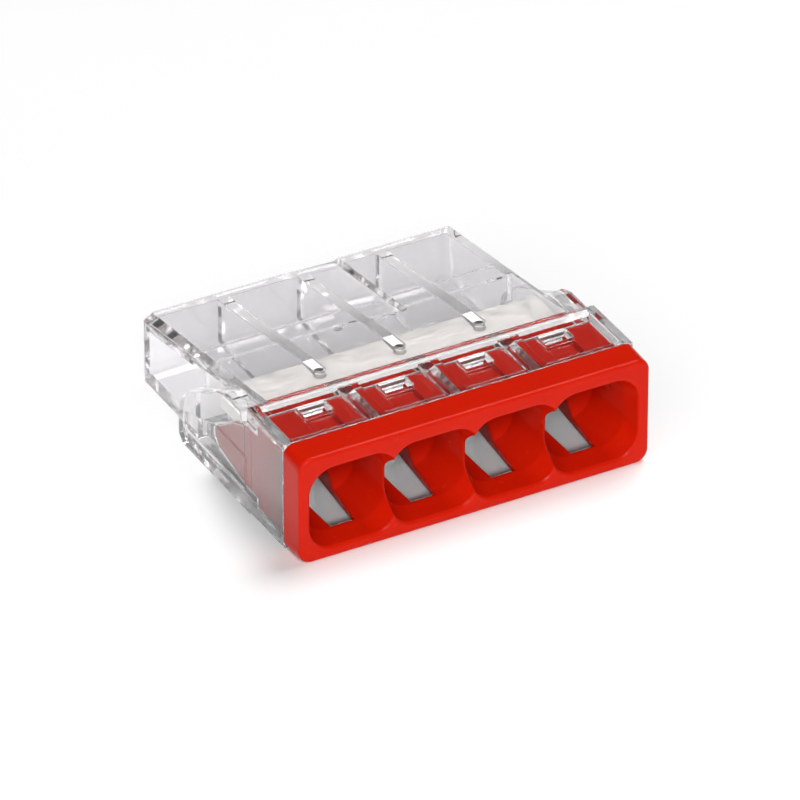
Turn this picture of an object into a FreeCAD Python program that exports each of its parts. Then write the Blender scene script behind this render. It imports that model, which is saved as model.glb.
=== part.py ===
import FreeCAD, Part
import math
import os

os.makedirs("parts", exist_ok=True)

# A four-entry push-in wire connector: a clear housing, a red front cover that snaps into it, a current bar
# and four leaf springs. Millimetres. X runs across the entries, Y from the front face to the rear, Z up.
# The origin is the middle of the bottom. Every "depth" below is the distance behind the front face.

# Main sizes
ENTRIES = 4
PITCH = 4.0
WIDTH = 17.4
DEPTH = 16.6
HEIGHT = 5.4
WIRE_AXIS_Z = 2.56
PART_GAP = 0.05
OVERLAP = 0.2

# Front cover
CAP_DEPTH = 1.5
CAP_FRONT_CORNER = 0.65
CAP_REAR_CORNER = 0.5
CAP_EDGE = 0.16
MOUTH_WIDTH = 4.3
MOUTH_HEIGHT = 4.04
MOUTH_CORNER = 1.2
MOUTH_LIP = 0.2
LIP_STEPS = 4
WAIST_WIDTH = 4.0
WAIST_HEIGHT = 3.64
WAIST_CORNER = 1.3
WAIST_DEPTH = 1.0
TUNNEL_END = 3.4
TUNNEL_WIDTH = 3.5
TUNNEL_HEIGHT = 3.46
TUNNEL_CORNER = 1.35
THROAT_RADIUS = 1.15
THROAT_START = 4.4
PLUG_STEP = 4.3
PLUG_END = 5.5
PLUG_BOTTOM = 0.5
PLUG_TOP = 4.75
NOSE_HALF_WIDTH = 7.5
NOSE_TOP = 4.3
FLOOR_SLOT_WIDTH = 1.2
FLOOR_SLOT_REAR_WIDTH = 2.0
FLOOR_SLOT_START = 1.15
TEST_GROOVE_WIDTH = 1.45
TEST_GROOVE_START = 1.75
TEST_GROOVE_STEP = 2.45
TEST_GROOVE_LOW = 4.5
TEST_HOLE_START = 3.5
TEST_HOLE_LOW = 3.9
BARREL_GROOVE_WIDTH = 0.8
BARREL_GROOVE_DEPTH = 0.65
THROAT_GAP_WIDTH = 0.9

# Latch arms at the two sides of the cover
ARM_START = 4.1
ARM_INNER_X = 7.6
ARM_OUTER_X = 8.05
HOOK_OUTER_X = 8.22
HOOK_START = 5.4
HOOK_TOP = 2.35
ARM_END = 8.45

# Housing
COLLAR_END = 4.9
COLLAR_EDGE = 0.15
BODY_WIDTH = 15.9
ROOF_FRONT = 5.27
ROOF_REAR = 3.55
FLOOR = 0.45
COLLAR_WALL = 0.6
COLLAR_ROOF = 0.6
ROOF_THICKNESS = 0.55
MIDDLE_ROOF_THICKNESS = 0.7
REAR_ROOF_THICKNESS = 0.85
REAR_WALL = 0.6
PARTITION = 0.55
SIDE_WALL = 0.35
REAR_SIDE_WALL = 0.6
REAR_CHAMBER_FLOOR = 0.6
CHAMBER_STEP = 10.4
SECOND_STEP = 11.75
BODY_CORNER = 0.55
BODY_BEVEL = 0.4
WINDOW_DEPTH = 0.15
WINDOW_WIDTH = 3.0
WINDOW_START = 1.8
WINDOW_END = 4.4
WINDOW_RAMP_END = 4.75
WINDOW_SIDE = WIDTH / 2 - COLLAR_WALL + 2 * PART_GAP
TEST_SLOT_WIDTH = 1.4
TEST_SLOT_START = 3.25
TEST_SLOT_END = 4.1
EAR_RECESS = 0.15
CHANNEL_START = 9.7
GATE_X = -1.5
GATE_DEPTH = 9.9
GATE_RADIUS = 0.28
GATE_SINK = 0.2

# Current bar and leaf springs
BAR_START = 6.1
BAR_END = 8.1
BAR_BOTTOM = 3.5
BAR_THICKNESS = 0.6
RIDGE_DEPTH = 7.85
RIDGE_HEIGHT = 0.04
PEG_RADIUS = 0.3
PEG_DEPTH = 6.9
STRIP = 0.3
SPRING_WIDTH = 2.6
BEND_RADIUS = 0.3
TONGUE_ANGLE = 44.0
TONGUE_LENGTH = 3.0
BEND_CENTRE_DEPTH = 6.05
LEG_END = 10.1
HEEL_HEIGHT = 1.1
SOCKET_GAP = 0.02

ENTRY_X = [PITCH * (i - (ENTRIES - 1) / 2) for i in range(ENTRIES)]
BETWEEN_X = [PITCH * (i - ENTRIES / 2) for i in range(1, ENTRIES)]
LEFT_TO_RIGHT = FreeCAD.Vector(1, 0, 0)
FRONT_TO_REAR = FreeCAD.Vector(0, 1, 0)
CENTRE = FreeCAD.Vector(0, 0, 0)
SHARP_CORNERS = 2
ROOF_FALL = (ROOF_FRONT - ROOF_REAR) / (DEPTH - COLLAR_END)


def point(x, depth, z):
    """Point at a distance behind the front face."""
    return FreeCAD.Vector(x, depth - DEPTH / 2, z)


def block(x_from, x_to, depth_from, depth_to, z_from, z_to):
    """Rectangular block between two corners."""
    corner = point(x_from, depth_from, z_from)
    return Part.makeBox(x_to - x_from, depth_to - depth_from, z_to - z_from, corner)


def side_prism(outline, x_from, x_to, grow=0.0):
    """Side view outline of (depth, z) points, grown by a gap all round, run across from one X to another."""
    corners = [point(x_from, depth, z) for depth, z in outline]
    face = Part.Face(Part.makePolygon(corners + corners[:1]))
    if grow:
        face = face.makeOffset2D(grow, SHARP_CORNERS)
    return face.extrude(LEFT_TO_RIGHT * (x_to - x_from))


def front_prism(outline, depth_from, depth_to):
    """Front view outline of (x, z) points, run from one depth to another."""
    corners = [point(x, depth_from, z) for x, z in outline]
    face = Part.Face(Part.makePolygon(corners + corners[:1]))
    return face.extrude(FreeCAD.Vector(0, depth_to - depth_from, 0))


def both_sides(shape):
    """The shape and its mirror image across the middle."""
    return shape.fuse(shape.mirror(CENTRE, LEFT_TO_RIGHT))


def rounded_outline(width, height, corner, x, depth, z):
    """Closed front view wire: a rectangle about (x, z) with round corners."""
    half_width = width / 2 - corner
    half_height = height / 2 - corner
    diagonal = corner * math.sqrt(0.5)
    edges = []
    ends = []
    for across, up in [(1, 1), (-1, 1), (-1, -1), (1, -1)]:
        centre_x = x + across * half_width
        centre_z = z + up * half_height
        at_side = point(centre_x + across * corner, depth, centre_z)
        at_top = point(centre_x, depth, centre_z + up * corner)
        middle = point(centre_x + across * diagonal, depth, centre_z + up * diagonal)
        turn = [at_side, middle, at_top] if across == up else [at_top, middle, at_side]
        edges.append(Part.Arc(*turn).toShape())
        ends.append((turn[0], turn[2]))
    sides = []
    for i, (start, end) in enumerate(ends):
        sides.append(edges[i])
        sides.append(Part.makeLine(end, ends[(i + 1) % 4][0]))
    return Part.Wire(sides)


def edges_where(shape, test):
    """Edges whose middle and direction pass the test."""
    chosen = []
    for edge in shape.Edges:
        middle = edge.valueAt((edge.FirstParameter + edge.LastParameter) / 2)
        direction = edge.tangentAt((edge.FirstParameter + edge.LastParameter) / 2)
        if test(middle, direction):
            chosen.append(edge)
    return chosen


def roof_height(depth):
    """Height of the sloping roof at a distance behind the front face."""
    return ROOF_FRONT - ROOF_FALL * (depth - COLLAR_END)


# ---------------------------------------------------------------- housing


def collar():
    """Full-width hoop at the front that the cover closes."""
    hoop = block(-WIDTH / 2, WIDTH / 2, CAP_DEPTH + PART_GAP, COLLAR_END, 0, HEIGHT)
    long_edges = edges_where(hoop, lambda middle, way: abs(way.y) > 0.9)
    return hoop.makeFillet(COLLAR_EDGE, long_edges)


def rear_body():
    """Narrower body whose roof falls towards the rear."""
    start = COLLAR_END - 0.5
    outline = [(start, 0), (DEPTH, 0), (DEPTH, ROOF_REAR), (start, roof_height(start))]
    body = side_prism(outline, -BODY_WIDTH / 2, BODY_WIDTH / 2)
    behind_front = point(0, start, 0).y + 0.1
    near_rear = point(0, DEPTH, 0).y - 0.1
    upright = edges_where(body, lambda middle, way: abs(way.z) > 0.9 and middle.y > near_rear)
    body = body.makeFillet(BODY_CORNER, upright)
    rim = edges_where(body, lambda middle, way: middle.z > ROOF_REAR - 0.1 and middle.y > behind_front)
    body = body.makeChamfer(BODY_BEVEL, rim)
    sole = edges_where(body, lambda middle, way: middle.z < 0.1 and middle.y > behind_front)
    return body.makeFillet(COLLAR_EDGE, sole)


def ear():
    """Thick pad on the right side that hides a latch arm, with its sunk three-sided panel."""
    start = COLLAR_END - OVERLAP
    outer = [
        (start, 0), (11.0, 0), (11.4, 0.35), (11.4, 1.5), (11.15, 2.35), (10.5, 3.05),
        (8.4, 4.15), (7.8, 4.6), (7.1, 4.85), (5.5, 4.85), (5.35, 4.4), (start, 4.4),
    ]
    pad = side_prism(outer, BODY_WIDTH / 2 - OVERLAP, WIDTH / 2)
    panel = [(5.15, 0.85), (10.8, 0.85), (10.8, 1.85), (8.8, 2.45), (7.3, 3.05), (6.2, 3.85), (5.15, 4.3)]
    sunk = side_prism(panel, WIDTH / 2 - EAR_RECESS, WIDTH / 2 + 1)
    return pad.cut(sunk)


def roof_channel():
    """Shallow channel along the middle of the roof, whose floor falls gently to a steep right side."""
    outline = [(-1.15, 1), (-1.15, 0), (1.75, -0.26), (1.85, 0), (1.85, 1)]
    channel = front_prism(outline, CHANNEL_START, DEPTH + 1)
    slope = math.degrees(math.atan(ROOF_FALL))
    channel.rotate(point(0, CHANNEL_START, 0), LEFT_TO_RIGHT, -slope)
    channel.translate(FreeCAD.Vector(0, 0, roof_height(CHANNEL_START)))
    return channel


def gate_mark():
    """Small round sunk spot beside the roof channel, where the moulding was gated."""
    centre = point(GATE_X, GATE_DEPTH, roof_height(GATE_DEPTH) - GATE_SINK)
    return Part.makeCylinder(GATE_RADIUS, 1, centre)


def cover_room():
    """Space in the collar for the cover's plug, and for its nose and latch arms behind."""
    half = WIDTH / 2 - COLLAR_WALL
    room = block(-half, half, 0, PLUG_STEP + PART_GAP, FLOOR, HEIGHT - COLLAR_ROOF)
    nose = block(-ARM_INNER_X, ARM_INNER_X, ARM_START, PLUG_END + OVERLAP, FLOOR, NOSE_TOP + PART_GAP)
    arm = side_prism(arm_outline(), ARM_INNER_X - OVERLAP, ARM_OUTER_X + PART_GAP, PART_GAP)
    hook = side_prism(hook_outline(), ARM_OUTER_X - PART_GAP, HOOK_OUTER_X + PART_GAP, PART_GAP)
    return room.fuse(nose).fuse(both_sides(arm.fuse(hook)))


def roofed_room(sides, depth_from, depth_to, floor, roof_thickness):
    """Room between two sides whose ceiling runs parallel to the roof."""
    outline = [
        (depth_from, floor), (depth_to, floor), (depth_to, roof_height(depth_to) - roof_thickness),
        (depth_from, roof_height(depth_from) - roof_thickness),
    ]
    return side_prism(outline, sides[0], sides[1])


def room_sides(x, wall):
    """Left and right limits of the room about one entry, between partitions or up to a side wall."""
    limit = BODY_WIDTH / 2 - wall
    half = (PITCH - PARTITION) / 2
    return max(x - half, -limit), min(x + half, limit)


def wire_chamber(x):
    """Room for one leaf spring and, behind two small steps in the ceiling, for the bare end of one wire."""
    rear = DEPTH - REAR_WALL
    start = CHAMBER_STEP - OVERLAP
    end = SECOND_STEP
    wide = room_sides(x, SIDE_WALL)
    narrow = room_sides(x, REAR_SIDE_WALL)
    spring_room = roofed_room(wide, PLUG_END, CHAMBER_STEP, FLOOR, ROOF_THICKNESS)
    middle = roofed_room(narrow, start, end, REAR_CHAMBER_FLOOR, MIDDLE_ROOF_THICKNESS)
    room = roofed_room(narrow, end - OVERLAP, rear, REAR_CHAMBER_FLOOR, REAR_ROOF_THICKNESS)
    return spring_room.fuse([middle, room])


def bar_room():
    """Slot across all the partitions for the current bar, open to the roof in front of the partitions."""
    half = BODY_WIDTH / 2 - SIDE_WALL
    low = BAR_BOTTOM - PART_GAP
    high = BAR_BOTTOM + BAR_THICKNESS + PART_GAP
    slot = block(-half, half, PLUG_END, BAR_END + PART_GAP, low, high)
    front = roofed_room((-half, half), PLUG_END, PEG_DEPTH, low, ROOF_THICKNESS)
    return slot.fuse(front)


def peg(x, radius):
    """Round peg under the roof, at the end of a partition, that stands in a hole of the current bar."""
    top = roof_height(PEG_DEPTH) - ROOF_THICKNESS / 2
    return Part.makeCylinder(radius, top - BAR_BOTTOM, point(x, PEG_DEPTH, BAR_BOTTOM))


def barrel_rib(x):
    """Wedge rib under the collar's roof that lies in the groove between two of the cover's barrels."""
    top = HEIGHT - COLLAR_ROOF
    root = top + OVERLAP
    half = BARREL_GROOVE_WIDTH / 2 - 2 * PART_GAP
    drop = BARREL_GROOVE_DEPTH - 4 * PART_GAP
    outline = [(x - half, root), (x - half, top), (x, top - drop), (x + half, top), (x + half, root)]
    return front_prism(outline, CAP_DEPTH + PART_GAP, PLUG_STEP + OVERLAP)


def collar_window(index):
    """Sunk panel above one entry. The end panels reach the side walls."""
    x = ENTRY_X[index]
    left = x - WINDOW_WIDTH / 2
    right = x + WINDOW_WIDTH / 2
    if index == 0:
        left = -WINDOW_SIDE
    if index == ENTRIES - 1:
        right = WINDOW_SIDE
    return block(left, right, WINDOW_START, WINDOW_END, HEIGHT - WINDOW_DEPTH, HEIGHT + 1)


def collar_ramp():
    """Ramp behind the sunk panels, from their floor up to the collar's rear edge."""
    above = HEIGHT + 1
    low = HEIGHT - WINDOW_DEPTH
    outline = [(WINDOW_END, low), (WINDOW_RAMP_END, HEIGHT), (WINDOW_RAMP_END, above), (WINDOW_END, above)]
    return side_prism(outline, -WINDOW_SIDE, WINDOW_SIDE)


def test_slot(x):
    """Slot through the collar's roof for a test probe."""
    half = TEST_SLOT_WIDTH / 2
    return block(x - half, x + half, TEST_SLOT_START, TEST_SLOT_END, PLUG_TOP, HEIGHT + 1)


def housing():
    """Clear housing, one moulding."""
    shape = collar().fuse(rear_body()).fuse(both_sides(ear()))
    shape = shape.cut(cover_room())
    shape = shape.cut(bar_room())
    for x in ENTRY_X:
        shape = shape.cut(wire_chamber(x))
    for x in BETWEEN_X:
        shape = shape.fuse([barrel_rib(x), peg(x, PEG_RADIUS - PART_GAP)])
    for index, x in enumerate(ENTRY_X):
        shape = shape.cut(collar_window(index))
        shape = shape.cut(test_slot(x))
    shape = shape.cut([collar_ramp(), roof_channel(), gate_mark()])
    return shape.removeSplitter()


# ---------------------------------------------------------------- front cover


def cap():
    """Face plate whose corners are rounder at the front than at the rear."""
    front = rounded_outline(WIDTH, HEIGHT, CAP_FRONT_CORNER, 0, 0, HEIGHT / 2)
    rear = rounded_outline(WIDTH, HEIGHT, CAP_REAR_CORNER, 0, CAP_DEPTH, HEIGHT / 2)
    plate = Part.makeLoft([front, rear], True, True)
    face = point(0, 0, 0).y
    rim = edges_where(plate, lambda middle, way: middle.y < face + 0.01)
    return plate.makeFillet(CAP_EDGE, rim)


def plug():
    """Body behind the cap: a wide part in the collar and a lower nose for the throats."""
    half = WIDTH / 2 - COLLAR_WALL - PART_GAP
    wide = block(-half, half, CAP_DEPTH - OVERLAP, PLUG_STEP, PLUG_BOTTOM, PLUG_TOP)
    nose = block(-NOSE_HALF_WIDTH, NOSE_HALF_WIDTH, ARM_START, PLUG_END, PLUG_BOTTOM, NOSE_TOP)
    return wide.fuse(nose)


def barrel_groove(x):
    """Grooves between two barrels, in the plug's top and all the way down behind the throats."""
    half = BARREL_GROOVE_WIDTH / 2
    low = PLUG_TOP - BARREL_GROOVE_DEPTH
    outline = [(x - half, PLUG_TOP), (x, low), (x + half, PLUG_TOP), (x + half, HEIGHT), (x - half, HEIGHT)]
    groove = front_prism(outline, CAP_DEPTH, PLUG_STEP + OVERLAP)
    half = THROAT_GAP_WIDTH / 2
    gap = block(x - half, x + half, PLUG_STEP + OVERLAP, PLUG_END + 1, 0, HEIGHT)
    return groove.fuse(gap)


def arm_outline():
    """Side view of a latch arm, tapered to a round tip."""
    lower = [(ARM_START, 1.0), (5.9, 1.0), (8.0, 1.45), (8.35, 1.75), (ARM_END, 2.1)]
    upper = [(8.35, 2.5), (7.3, 3.1), (6.2, 3.9), (5.4, 4.2), (ARM_START, 4.2)]
    return lower + upper


def hook_outline():
    """Side view of the hook along the lower half of a latch arm."""
    lower = [(HOOK_START, 1.0), (5.9, 1.0), (8.0, 1.45), (8.35, 1.75), (ARM_END, 2.1)]
    return lower + [(8.4, HOOK_TOP), (HOOK_START, HOOK_TOP)]


def latch_arm():
    """Arm at the right side with its hook."""
    arm = side_prism(arm_outline(), ARM_INNER_X, ARM_OUTER_X)
    hook = side_prism(hook_outline(), ARM_OUTER_X - PART_GAP, HOOK_OUTER_X)
    return arm.fuse(hook)


def entry_tunnel(x):
    """Funnel mouth with a round lip, tunnel for the insulation, cone, and round throat for the bare wire."""
    z = WIRE_AXIS_Z
    rounds = []
    for step in range(LIP_STEPS + 1):
        turn = math.radians(90 * step / LIP_STEPS)
        proud = MOUTH_LIP * (1 - math.sin(turn))
        depth = MOUTH_LIP * (1 - math.cos(turn))
        width = MOUTH_WIDTH + 2 * proud
        rounds.append(rounded_outline(width, MOUTH_HEIGHT + 2 * proud, MOUTH_CORNER + proud, x, depth, z))
    lip = Part.makeLoft(rounds, True, True)
    mouth = rounds[-1]
    waist = rounded_outline(WAIST_WIDTH, WAIST_HEIGHT, WAIST_CORNER, x, WAIST_DEPTH, z)
    funnel = Part.makeLoft([mouth, waist], True, True)
    end = rounded_outline(TUNNEL_WIDTH, TUNNEL_HEIGHT, TUNNEL_CORNER, x, TUNNEL_END, z)
    tunnel = Part.makeLoft([waist, end], True, True)
    small = 2 * THROAT_RADIUS - 0.02
    cone_end = rounded_outline(small, small, THROAT_RADIUS - 0.05, x, THROAT_START, z)
    cone = Part.makeLoft([end, cone_end], True, True)
    throat_start = point(x, THROAT_START - 0.01, z)
    throat = Part.makeCylinder(THROAT_RADIUS, PLUG_END - THROAT_START + 1, throat_start, FRONT_TO_REAR)
    return lip.fuse([funnel, tunnel, cone, throat])


def floor_slot(x):
    """Slot along the tunnel's floor, wider at the rear, through which the housing's floor shows."""
    front = FLOOR_SLOT_WIDTH / 2
    rear = FLOOR_SLOT_REAR_WIDTH / 2
    end = PLUG_END + 1
    front_left = point(x - front, FLOOR_SLOT_START, 0)
    front_right = point(x + front, FLOOR_SLOT_START, 0)
    outline = [front_left, front_right, point(x + rear, end, 0), point(x - rear, end, 0), front_left]
    return Part.Face(Part.makePolygon(outline)).extrude(FreeCAD.Vector(0, 0, WIRE_AXIS_Z))


def test_groove(x):
    """Groove in the plug's top with a hole at its rear that leads a test probe down to the wire."""
    half = TEST_GROOVE_WIDTH / 2
    outline = [
        (TEST_GROOVE_START, PLUG_TOP), (TEST_GROOVE_STEP, TEST_GROOVE_LOW),
        (TEST_HOLE_START, TEST_GROOVE_LOW), (TEST_HOLE_START, TEST_HOLE_LOW),
        (PLUG_STEP, TEST_HOLE_LOW), (PLUG_STEP, HEIGHT), (TEST_GROOVE_START, HEIGHT),
    ]
    return side_prism(outline, x - half, x + half)


def front_cover():
    """Red front cover, one moulding."""
    shape = cap().fuse(plug())
    for x in BETWEEN_X:
        shape = shape.cut(barrel_groove(x))
    for x in ENTRY_X:
        shape = shape.cut(test_groove(x))
        shape = shape.cut(entry_tunnel(x))
        shape = shape.cut(floor_slot(x))
    shape = shape.fuse(both_sides(latch_arm()))
    return shape.removeSplitter()


# ---------------------------------------------------------------- metal parts


def current_bar():
    """Flat bar across all the entries, with a contact ridge along its underside."""
    half = BODY_WIDTH / 2 - SIDE_WALL - PART_GAP
    shape = block(-half, half, BAR_START, BAR_END, BAR_BOTTOM, BAR_BOTTOM + BAR_THICKNESS)
    upper = BAR_BOTTOM + 0.01
    ridge = [(RIDGE_DEPTH - 0.1, upper), (RIDGE_DEPTH, BAR_BOTTOM - RIDGE_HEIGHT), (RIDGE_DEPTH + 0.1, upper)]
    shape = shape.fuse(side_prism(ridge, -half, half))
    for x in BETWEEN_X:
        shape = shape.cut(peg(x, PEG_RADIUS))
    return shape.removeSplitter()


def bend_centre(x):
    """Centre of a leaf spring's front bend."""
    return point(x, BEND_CENTRE_DEPTH, FLOOR + PART_GAP + STRIP / 2 + BEND_RADIUS)


def around_bend(x, radius, degrees):
    """Point at an angle around the centre of the front bend, measured up from the rear."""
    angle = math.radians(degrees)
    return bend_centre(x) + FreeCAD.Vector(0, math.cos(angle), math.sin(angle)) * radius


def tongue_root(x):
    """Point in the middle of the strip where the bend ends and the straight tongue begins."""
    return around_bend(x, BEND_RADIUS, 90 + TONGUE_ANGLE)


def spring_bend(x):
    """Front bend of a leaf spring, from the leg on the floor up to the tongue's root."""
    turns = [270, 180 + TONGUE_ANGLE / 2, 90 + TONGUE_ANGLE]
    outer = [around_bend(x, BEND_RADIUS + STRIP / 2, turn) for turn in turns]
    inner = [around_bend(x, BEND_RADIUS - STRIP / 2, turn) for turn in turns]
    edges = [
        Part.Arc(*outer).toShape(),
        Part.makeLine(outer[2], inner[2]),
        Part.Arc(*reversed(inner)).toShape(),
        Part.makeLine(inner[0], outer[0]),
    ]
    return Part.Face(Part.Wire(edges)).extrude(LEFT_TO_RIGHT * SPRING_WIDTH)


def spring_leg(x):
    """Still part of a leaf spring: the leg on the floor, the heel behind it and the front bend."""
    left = x - SPRING_WIDTH / 2
    right = x + SPRING_WIDTH / 2
    low = FLOOR + PART_GAP
    leg = block(left, right, BEND_CENTRE_DEPTH, LEG_END, low, low + STRIP)
    heel = block(left, right, LEG_END - STRIP, LEG_END, low, low + HEEL_HEIGHT)
    root = tongue_root(left - 1)
    socket = Part.makeCylinder(STRIP / 2 + SOCKET_GAP, SPRING_WIDTH + 2, root, LEFT_TO_RIGHT)
    return leg.fuse([heel, spring_bend(left)]).cut(socket).removeSplitter()


def spring_tongue(x):
    """Moving part of a leaf spring, straight, with a round root and an edge that bites the wire."""
    start = tongue_root(x - SPRING_WIDTH / 2)
    bead = Part.makeCylinder(STRIP / 2, SPRING_WIDTH, start, LEFT_TO_RIGHT)
    blade = Part.makeBox(SPRING_WIDTH, TONGUE_LENGTH, STRIP, start - FreeCAD.Vector(0, 0, STRIP / 2))
    far = start.y + TONGUE_LENGTH / 2
    tip = edges_where(blade, lambda middle, way: abs(way.x) > 0.9 and middle.y > far and middle.z < start.z)
    blade = blade.makeChamfer(STRIP * 0.6, tip)
    blade.rotate(start, LEFT_TO_RIGHT, TONGUE_ANGLE)
    return bead.fuse(blade).removeSplitter()


def save(shape, name):
    """Write one node."""
    shape.exportStep("parts/" + name + ".step")


save(housing(), "housing")
save(front_cover(), "front_cover")
save(current_bar(), "current_bar")
for index, x in enumerate(ENTRY_X):
    save(spring_leg(x), "spring_leg_" + str(index + 1))
    save(spring_tongue(x), "spring_tongue_" + str(index + 1))
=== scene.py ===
import bpy
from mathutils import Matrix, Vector


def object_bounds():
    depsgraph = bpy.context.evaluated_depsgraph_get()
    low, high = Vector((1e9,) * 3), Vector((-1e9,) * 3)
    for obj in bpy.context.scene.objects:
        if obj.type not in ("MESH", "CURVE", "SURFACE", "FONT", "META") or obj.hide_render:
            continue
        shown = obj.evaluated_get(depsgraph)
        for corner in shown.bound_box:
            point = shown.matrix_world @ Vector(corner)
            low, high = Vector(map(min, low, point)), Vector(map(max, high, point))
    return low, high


# Looks for a four-entry push-in wire connector: clear housing, red front cover, current bar, leaf springs.
# Metres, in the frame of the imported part: X across the entries, Y from the front face to the rear, Z up.

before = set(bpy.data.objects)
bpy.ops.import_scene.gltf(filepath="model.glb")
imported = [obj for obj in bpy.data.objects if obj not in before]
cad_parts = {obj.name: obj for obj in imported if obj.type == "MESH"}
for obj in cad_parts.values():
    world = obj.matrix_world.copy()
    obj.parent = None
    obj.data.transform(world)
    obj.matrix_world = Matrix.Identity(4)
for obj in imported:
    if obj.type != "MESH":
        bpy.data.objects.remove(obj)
cad_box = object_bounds()

MM = 0.001
ENTRIES = 4

# Camera above the left front of the cover, on a long lens
LOOK_AT = Vector((-0.51, -2.3, 2.61)) * MM
TOWARDS_CAMERA = Vector((-0.3995, -0.734, 0.549))
CAMERA_DISTANCE = 0.4
SENSOR = 36.0
LENS = 409.0
NEAREST = 0.01
FURTHEST = 10.0

# Light
MOST_BOUNCES = 64
WHITE = (1.0, 1.0, 1.0)
WORLD_STRENGTH = 0.06

# Floor
FLOOR_HALF = 1.5
FLOOR_GAP = 0.02 * MM
FLOOR_PALE = (0.97, 0.97, 0.97)
FLOOR_SPECULAR = 0.2

# Plastics
PLASTIC_IOR = 1.58
CLEAR_TINT = (0.985, 0.975, 0.985)
CLEAR_SHADOW = (0.985, 0.985, 0.985)
RED_DARK = (0.54, 0.009, 0.0012)
RED_LIGHT = (0.61, 0.013, 0.002)
RED_SPECULAR = 0.08
RED_GLOW = 0.08
RED_GLOW_REACH = (0.6 * MM, 0.15 * MM, 0.08 * MM)

# Metals
TIN_DARK = (0.78, 0.76, 0.73)
TIN_LIGHT = (0.90, 0.88, 0.85)
STEEL_DARK = (0.52, 0.52, 0.53)
STEEL_LIGHT = (0.68, 0.68, 0.69)
ALONG_BAR = (0.15, 1.0, 1.0)
ALONG_LEAF = (1.0, 0.08, 0.3)

# Most values of a noise texture lie between these two
NOISE_LOW = 0.3
NOISE_HIGH = 0.7
BEVEL_SAMPLES = 4


# ---------------------------------------------------------------- node helpers


def new_material(name):
    """Empty node material with its output node."""
    material = bpy.data.materials.new(name)
    material.use_nodes = True
    nodes = material.node_tree.nodes
    nodes.clear()
    return material, nodes.new("ShaderNodeOutputMaterial")


def add(material, kind, **settings):
    """New node with its plain settings."""
    node = material.node_tree.nodes.new(kind)
    for name, value in settings.items():
        setattr(node, name, value)
    return node


def join(material, source, target):
    """Link one socket to another."""
    material.node_tree.links.new(source, target)


def own_place(material, stretch=(1.0, 1.0, 1.0)):
    """Position on the object, in metres, multiplied along the axes: a factor below 1 draws a pattern out."""
    place = add(material, "ShaderNodeTexCoord")
    mapping = add(material, "ShaderNodeMapping")
    mapping.inputs["Scale"].default_value = stretch
    join(material, place.outputs["Object"], mapping.inputs["Vector"])
    return mapping.outputs["Vector"]


def noise(material, place, size, detail=3.0, rough=0.5):
    """Noise whose features are about this size in metres."""
    node = add(material, "ShaderNodeTexNoise")
    node.inputs["Scale"].default_value = 1.0 / size
    node.inputs["Detail"].default_value = detail
    node.inputs["Roughness"].default_value = rough
    join(material, place, node.inputs["Vector"])
    return node.outputs["Fac"]


def spread(material, value, low, high):
    """A noise value turned into a range."""
    node = add(material, "ShaderNodeMapRange")
    node.inputs["From Min"].default_value = NOISE_LOW
    node.inputs["From Max"].default_value = NOISE_HIGH
    node.inputs["To Min"].default_value = low
    node.inputs["To Max"].default_value = high
    join(material, value, node.inputs["Value"])
    return node.outputs["Result"]


def between(material, value, first, second):
    """Colour between two colours."""
    node = add(material, "ShaderNodeMix", data_type="RGBA")
    node.inputs["A"].default_value = (*first, 1.0)
    node.inputs["B"].default_value = (*second, 1.0)
    join(material, value, node.inputs["Factor"])
    return node.outputs["Result"]


def bump(material, height, depth, edge):
    """Surface normal from a noise value scaled to metres, with edges softened by a small radius."""
    soft = add(material, "ShaderNodeBevel", samples=BEVEL_SAMPLES)
    soft.inputs["Radius"].default_value = edge
    node = add(material, "ShaderNodeBump")
    node.inputs["Strength"].default_value = 1.0
    node.inputs["Distance"].default_value = depth
    join(material, height, node.inputs["Height"])
    join(material, soft.outputs["Normal"], node.inputs["Normal"])
    return node.outputs["Normal"]


def let_light_past(material, shader, tint):
    """A shader that light on its way to other surfaces goes straight through, dimmed by a tint."""
    clear = add(material, "ShaderNodeBsdfTransparent")
    clear.inputs["Color"].default_value = (*tint, 1.0)
    path = add(material, "ShaderNodeLightPath")
    mix = add(material, "ShaderNodeMixShader")
    when, otherwise, on_shadow_rays = mix.inputs
    join(material, path.outputs["Is Shadow Ray"], when)
    join(material, shader.outputs["BSDF"], otherwise)
    join(material, clear.outputs["BSDF"], on_shadow_rays)
    return mix.outputs["Shader"]


# ---------------------------------------------------------------- materials


def clear_plastic():
    """Clear polycarbonate: glassy, very slightly tinted, with faint flow marks from moulding."""
    material, output = new_material("clear_polycarbonate")
    place = own_place(material)
    shader = add(material, "ShaderNodeBsdfPrincipled")
    shader.inputs["Base Color"].default_value = (*CLEAR_TINT, 1.0)
    shader.inputs["IOR"].default_value = PLASTIC_IOR
    shader.inputs["Transmission Weight"].default_value = 1.0
    haze = noise(material, place, size=1.5 * MM)
    join(material, spread(material, haze, low=0.01, high=0.07), shader.inputs["Roughness"])
    flow_place = own_place(material, stretch=(1.0, 0.5, 1.0))
    flow = noise(material, flow_place, size=2.5 * MM, detail=1.0)
    join(material, bump(material, flow, depth=0.01 * MM, edge=0.08 * MM), shader.inputs["Normal"])
    join(material, let_light_past(material, shader, CLEAR_SHADOW), output.inputs["Surface"])
    return material


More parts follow.
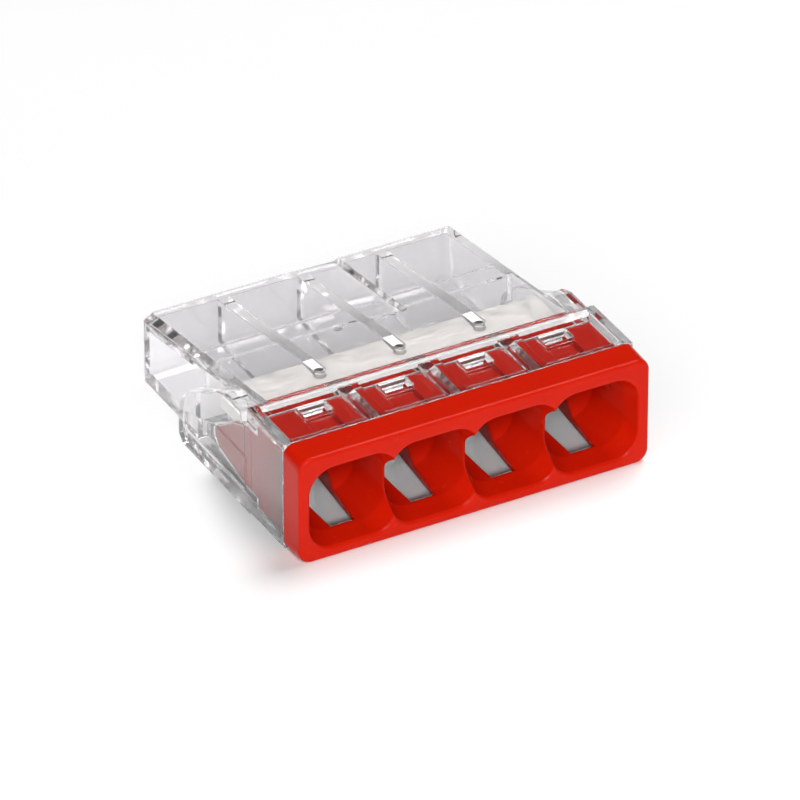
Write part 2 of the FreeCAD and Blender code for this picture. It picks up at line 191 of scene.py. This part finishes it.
def red_plastic():
    """Orange-red moulded plastic with a weak sheen."""
    material, output = new_material("red_polycarbonate")
    place = own_place(material)
    shader = add(material, "ShaderNodeBsdfPrincipled")
    shader.inputs["IOR"].default_value = PLASTIC_IOR
    shader.inputs["Specular IOR Level"].default_value = RED_SPECULAR
    shader.inputs["Subsurface Weight"].default_value = RED_GLOW
    shader.inputs["Subsurface Radius"].default_value = RED_GLOW_REACH
    cloud = noise(material, place, size=2.5 * MM)
    join(material, between(material, cloud, RED_DARK, RED_LIGHT), shader.inputs["Base Color"])
    wear = noise(material, place, size=0.8 * MM)
    join(material, spread(material, wear, low=0.16, high=0.28), shader.inputs["Roughness"])
    grain = noise(material, place, size=0.06 * MM, detail=2.0)
    join(material, bump(material, grain, depth=0.0015 * MM, edge=0.12 * MM), shader.inputs["Normal"])
    join(material, shader.outputs["BSDF"], output.inputs["Surface"])
    return material


def metal(name, dark, light, smoothest, roughest, stretch):
    """Strip metal with a rolling grain along one axis."""
    material, output = new_material(name)
    shader = add(material, "ShaderNodeBsdfPrincipled")
    shader.inputs["Metallic"].default_value = 1.0
    place = own_place(material, stretch)
    streaks = noise(material, place, size=0.12 * MM, detail=4.0, rough=0.6)
    join(material, between(material, streaks, dark, light), shader.inputs["Base Color"])
    join(material, spread(material, streaks, smoothest, roughest), shader.inputs["Roughness"])
    join(material, bump(material, streaks, depth=0.003 * MM, edge=0.05 * MM), shader.inputs["Normal"])
    join(material, shader.outputs["BSDF"], output.inputs["Surface"])
    return material


def tinned_copper():
    """Satin tin plating, slightly warm."""
    return metal("tinned_copper", TIN_DARK, TIN_LIGHT, smoothest=0.38, roughest=0.52, stretch=ALONG_BAR)


def spring_steel():
    """Bright cold-rolled spring strip."""
    return metal("spring_steel", STEEL_DARK, STEEL_LIGHT, smoothest=0.14, roughest=0.28, stretch=ALONG_LEAF)


# ---------------------------------------------------------------- pieces


def dress(node, material):
    """Give a CAD node its finished material."""
    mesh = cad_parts[node].data
    mesh.materials.clear()
    mesh.materials.append(material)


def dress_all():
    """Materials for every CAD node."""
    steel = spring_steel()
    dress("housing", clear_plastic())
    dress("front_cover", red_plastic())
    dress("current_bar", tinned_copper())
    for number in range(1, ENTRIES + 1):
        dress("spring_leg_" + str(number), steel)
        dress("spring_tongue_" + str(number), steel)


# ---------------------------------------------------------------- studio


def floor_material():
    """Pale matt floor."""
    material, output = new_material("pale_floor")
    shader = add(material, "ShaderNodeBsdfPrincipled")
    shader.inputs["Base Color"].default_value = (*FLOOR_PALE, 1.0)
    shader.inputs["Specular IOR Level"].default_value = FLOOR_SPECULAR
    patches = noise(material, own_place(material), size=20 * MM)
    join(material, spread(material, patches, low=0.5, high=0.6), shader.inputs["Roughness"])
    join(material, shader.outputs["BSDF"], output.inputs["Surface"])
    return material


def floor():
    """Plain floor just under the object."""
    mesh = bpy.data.meshes.new("floor")
    signs = ((-1, -1), (1, -1), (1, 1), (-1, 1))
    corners = [(x * FLOOR_HALF, y * FLOOR_HALF, 0.0) for x, y in signs]
    mesh.from_pydata(corners, [], [(0, 1, 2, 3)])
    mesh.materials.append(floor_material())
    piece = bpy.data.objects.new("floor", mesh)
    piece.location.z = cad_box[0].z - FLOOR_GAP
    bpy.context.scene.collection.objects.link(piece)


def place_facing(piece, direction, distance):
    """Put a light or camera this far out in a direction, turned back to the object."""
    piece.location = LOOK_AT + direction.normalized() * distance
    piece.rotation_mode = "QUATERNION"
    piece.rotation_quaternion = direction.to_track_quat("Z", "Y")
    bpy.context.scene.collection.objects.link(piece)


def softbox(name, towards, distance, size, power):
    """Square soft light that shines at the object from a direction."""
    light = bpy.data.lights.new(name, "AREA")
    light.size = size
    light.energy = power
    lamp = bpy.data.objects.new(name, light)
    lamp.visible_camera = False
    place_facing(lamp, Vector(towards).normalized(), distance)


def studio():
    """Soft studio light."""
    world = bpy.data.worlds.new("studio")
    world.use_nodes = True
    background = world.node_tree.nodes["Background"]
    background.inputs["Color"].default_value = (*WHITE, 1.0)
    background.inputs["Strength"].default_value = WORLD_STRENGTH
    bpy.context.scene.world = world
    softbox("overhead", towards=(0.36, 0.12, 0.93), distance=0.7, size=0.3, power=2.9)
    softbox("key", towards=(-0.3, -0.85, 0.7), distance=0.8, size=0.2, power=3.8)
    softbox("front_fill", towards=(-0.65, -0.65, 0.45), distance=0.9, size=0.9, power=3.4)


def camera():
    """Camera on a long lens."""
    data = bpy.data.cameras.new("camera")
    data.sensor_width = SENSOR
    data.lens = LENS
    data.clip_start = NEAREST
    data.clip_end = FURTHEST
    eye = bpy.data.objects.new("camera", data)
    place_facing(eye, TOWARDS_CAMERA, CAMERA_DISTANCE)
    bpy.context.scene.camera = eye


def render_settings():
    """Plain colours, and enough bounces for light to get through the clear walls.

    Caustics are off: light already passes the clear plastic on shadow rays, and caustic paths would light
    the floor under it a second time.
    """
    scene = bpy.context.scene
    scene.view_settings.view_transform = "Standard"
    scene.cycles.max_bounces = MOST_BOUNCES
    scene.cycles.transmission_bounces = MOST_BOUNCES
    scene.cycles.glossy_bounces = MOST_BOUNCES
    scene.cycles.transparent_max_bounces = MOST_BOUNCES
    scene.cycles.caustics_refractive = False
    scene.cycles.caustics_reflective = False
    scene.cycles.use_denoising = True


dress_all()
floor()
studio()
camera()
render_settings()
